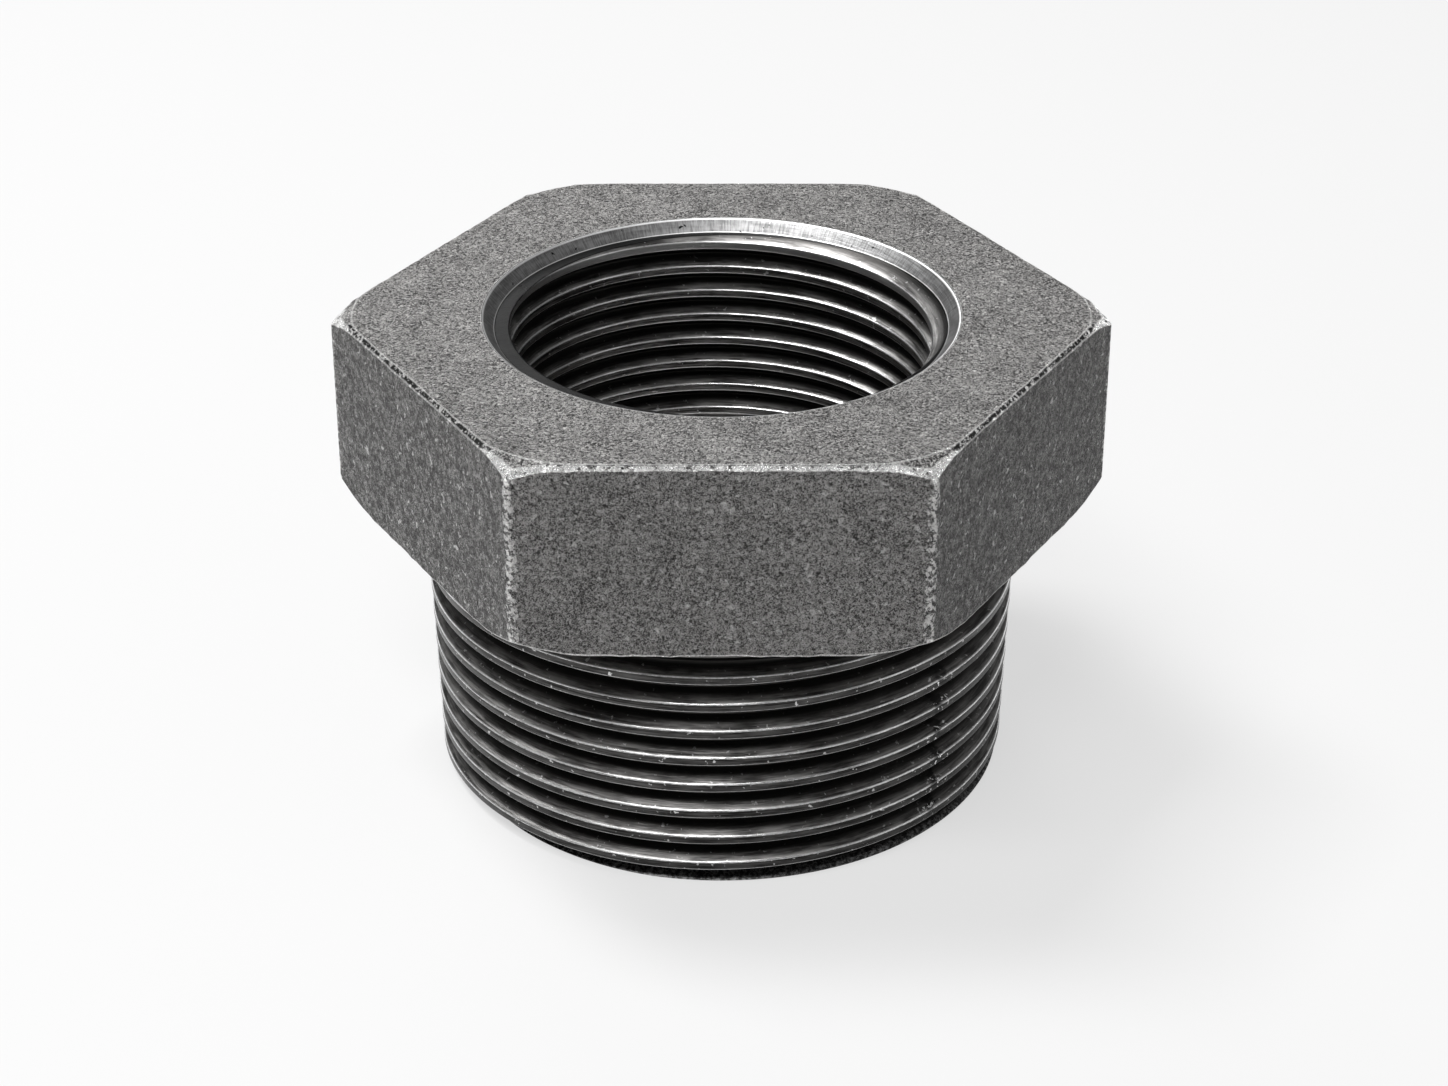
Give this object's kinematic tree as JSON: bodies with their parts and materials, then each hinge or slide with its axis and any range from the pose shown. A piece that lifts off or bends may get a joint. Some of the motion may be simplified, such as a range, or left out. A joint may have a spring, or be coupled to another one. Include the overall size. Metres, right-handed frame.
{
  "type": "hex bushing",
  "caption": "Hexagonal pipe bushing: a chamfered hex head over a taper-threaded shank, with a smaller taper thread in a socket inside the head and a plain passage below it.",
  "frame": {"origin": "centre of the flat end of the threaded shank", "axes": "+Z along the pipe axis towards the head; two flats of the hexagon face -Y and +Y, two corners point along -X and +X"},
  "size_m": [0.043, 0.0374, 0.0269],
  "materials": {
    "forged_steel": "dark forged carbon steel with a fine grain, machined threads, bright worn edges"
  },
  "bodies": {
    "root": {"hex_bushing": "forged_steel"}
  },
  "joints": []
}
